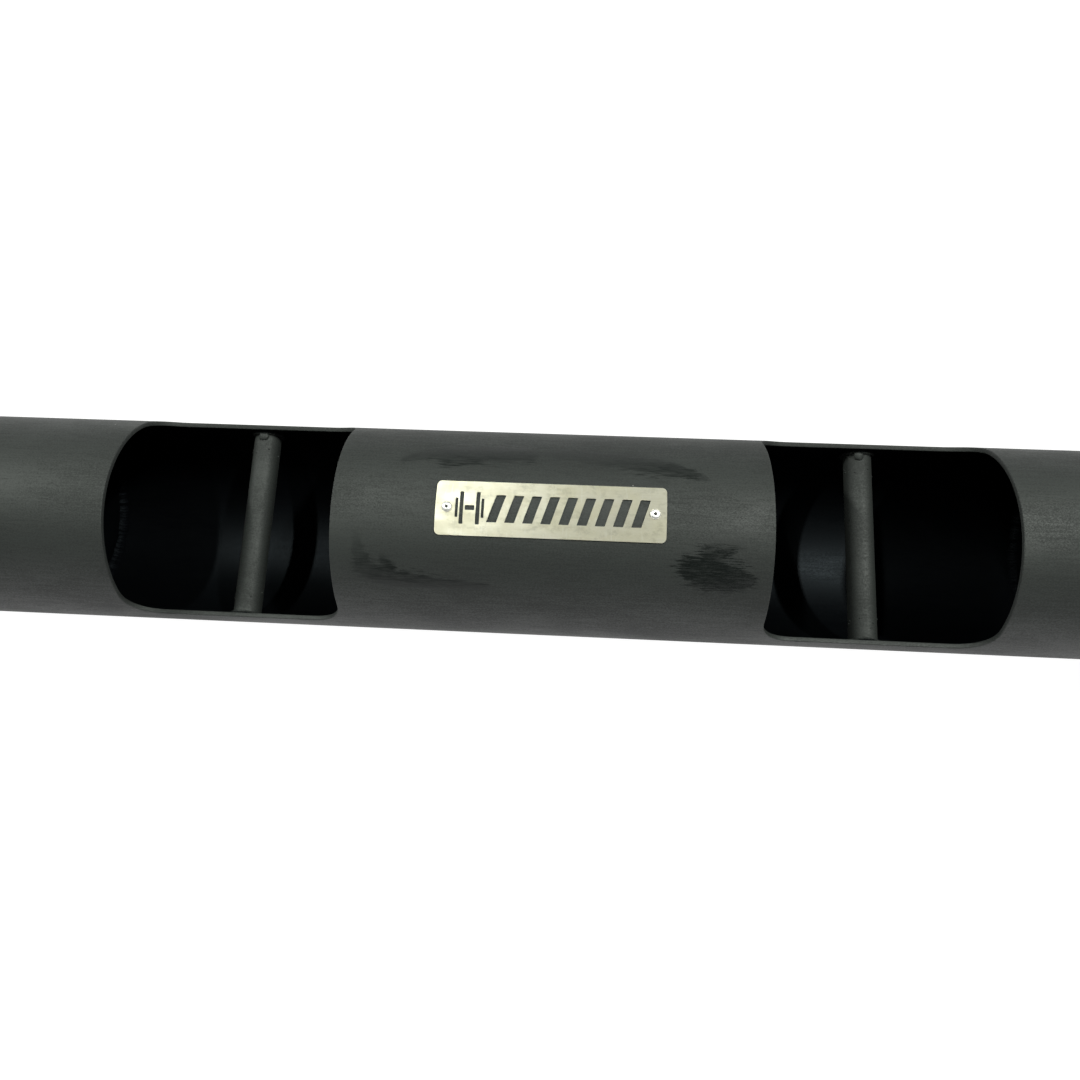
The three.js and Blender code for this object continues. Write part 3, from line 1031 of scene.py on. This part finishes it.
def build_log():
    coat = powder_coat("powder_coat", COAT_COLOURS, 0.5, 0.66)
    smudged_coat = powder_coat("powder_coat_smudged", COAT_COLOURS, 0.5, 0.66, smudged=True)
    # Darker coats that stand for painted shade: one inside the bore and on the bulkheads, one on the
    # beads round the bulkheads.
    bore_shade_coat = powder_coat("powder_coat_bore_shade", BORE_SHADE_COLOURS, 0.14, 0.53, SHADE_TINT_BLUE)
    bead_shade_coat = powder_coat("powder_coat_bead_shade", BEAD_SHADE_COLOURS, 0.05, 0.6, SHADE_TINT_BLUE)
    shell = log_shell()
    add_smudges(shell.data)
    show(shell, smudged_coat, "powder_coat", "log_shell")
    # Painted shade: the inside of the bore takes the darker coat.
    paint_shade_on(shell, bore_shade_coat, in_the_bore)
    show(name_plate(), brushed_stainless("brushed_stainless"), "stainless_plate", "name_plate")
    rivet_metal = bare_metal("rivet_aluminium", RIVET_COLOURS)
    stem_metal = bare_metal("mandrel_steel", MANDREL_COLOURS)
    plastic = moulded_plastic("black_plastic")
    for side in ("left", "right"):
        coated = {
            f"{side}_handle": handle(side),
            f"{side}_handle_front_weld": handle_weld(side, "front", -1),
            f"{side}_handle_rear_weld": handle_weld(side, "rear", 1),
            f"{side}_bulkhead": bulkhead(side),
            f"{side}_end_plate": end_plate(side),
            f"{side}_sleeve": sleeve(side),
            **disc_welds(side),
        }
        for node, piece in coated.items():
            finish = coat
            # Painted shade: the bulkheads and the beads round them take the darker coats.
            if "bulkhead" in node:
                finish = bead_shade_coat if "weld" in node else bore_shade_coat
            show(piece, finish, "powder_coat", node)
            # Painted shade: the darker coat where a handle's weld meets the bore's wall.
            if "handle" in node and "weld" in node:
                paint_shade_on(piece, bore_shade_coat, in_the_shaded_corner)
        show(sleeve_cap(side), plastic, "black_plastic", f"{side}_sleeve_cap")
        rivets = rivet(side)
        show(rivets[f"{side}_rivet_body"], rivet_metal, "rivet_aluminium", f"{side}_rivet_body")
        show(rivets[f"{side}_rivet_mandrel"], stem_metal, "mandrel_steel", f"{side}_rivet_mandrel")


# Name, place, width, length and watts of the lamps above and behind the log. Each runs across it.
LAMP_COLOUR = (0.95, 1.0, 0.93)
LAMPS = [
    ("left_batten", (-3.42, 1.08, 2.5), 0.15, 0.5, 62),
    ("middle_batten", (-0.669, 1.031, 2.224), 0.06, 0.4, 19),
    ("middle_strip", (-0.68, 0.45, 2.35), 0.08, 0.9, 11),
    ("right_batten", (2.1, 1.05, 3.65), 0.12, 0.6, 163),
]


# The sky's brightness at the sine of each elevation, and its strength in front of and behind the log.
SKY = [(0.0, 1.0), (0.08, 0.8), (0.28, 0.1), (0.75, 0.04)]
SKY_FRONT = 1.1
SKY_BACK = 0.3


def studio_floor():
    reach = 40.0
    skin = Skin()
    skin.faces.append(tuple(skin.loop([
        Vector((-reach, -reach, 0)),
        Vector((reach, -reach, 0)),
        Vector((reach, reach, 0)),
        Vector((-reach, reach, 0)),
    ])))
    floor = skin.piece("studio_floor")
    floor.data.materials.append(pale_floor("studio_floor"))


def lamps():
    for name, place, width, length, power in LAMPS:
        lamp = bpy.data.lights.new(name, "AREA")
        lamp.shape = "RECTANGLE"
        lamp.size = width
        lamp.size_y = length
        lamp.energy = power
        lamp.color = LAMP_COLOUR
        light = bpy.data.objects.new(name, lamp)
        back = (Vector(place) - Vector((0, 0, AXIS_Z))).normalized()
        sideways = (Vector((1, 0, 0)) - back * back.x).normalized()
        across = back.cross(sideways)
        facing = Matrix((sideways, across, back)).transposed().to_4x4()
        light.matrix_world = Matrix.Translation(place) @ facing
        light.visible_camera = False
        bpy.context.scene.collection.objects.link(light)


def sky():
    """Soft light, bright only near the horizon and mostly from the front."""
    world = bpy.data.worlds.new("studio_sky")
    bpy.context.scene.world = world
    world.use_nodes = True
    tree = world.node_tree
    place = tree.nodes.new("ShaderNodeTexCoord")
    parts = tree.nodes.new("ShaderNodeSeparateXYZ")
    tree.links.new(place.outputs["Generated"], parts.inputs[0])
    ramp = tree.nodes.new("ShaderNodeValToRGB")
    tree.links.new(parts.outputs["Z"], ramp.inputs["Fac"])
    ramp.color_ramp.interpolation = "EASE"
    elements = ramp.color_ramp.elements
    while len(elements) < len(SKY):
        elements.new(0.5)
    for element, (height, brightness) in zip(elements, SKY):
        element.position = height
        element.color = (brightness, brightness, brightness, 1)
    facing = tree.nodes.new("ShaderNodeMapRange")
    tree.links.new(parts.outputs["Y"], facing.inputs["Value"])
    facing.inputs["From Min"].default_value = -1
    facing.inputs["To Min"].default_value = SKY_FRONT
    facing.inputs["To Max"].default_value = SKY_BACK
    background = tree.nodes["Background"]
    tree.links.new(ramp.outputs["Color"], background.inputs["Color"])
    tree.links.new(facing.outputs[0], background.inputs["Strength"])


CAMERA_PLACE = (0.0281, -0.1713, 0.9016)
CAMERA_LENS = 26.87  # mm, for a sensor 36 mm wide
CAMERA_TURNS = (("Y", 2.958), ("X", 11.669), ("Z", 2.82))  # degrees, from straight down


def camera():
    """Above and a little in front of the log, close enough for both ends to run out of the picture."""
    data = bpy.data.cameras.new("camera")
    data.sensor_width = 36
    data.lens = CAMERA_LENS
    data.clip_start = 0.01
    data.clip_end = 200
    view = bpy.data.objects.new("camera", data)
    place = Matrix.Translation(CAMERA_PLACE)
    for axis, degrees in CAMERA_TURNS:
        place = place @ Matrix.Rotation(math.radians(degrees), 4, axis)
    view.matrix_world = place
    bpy.context.scene.collection.objects.link(view)
    bpy.context.scene.camera = view
    bpy.context.scene.view_settings.view_transform = "Standard"


camera()
studio_floor()
lamps()
sky()
build_log()
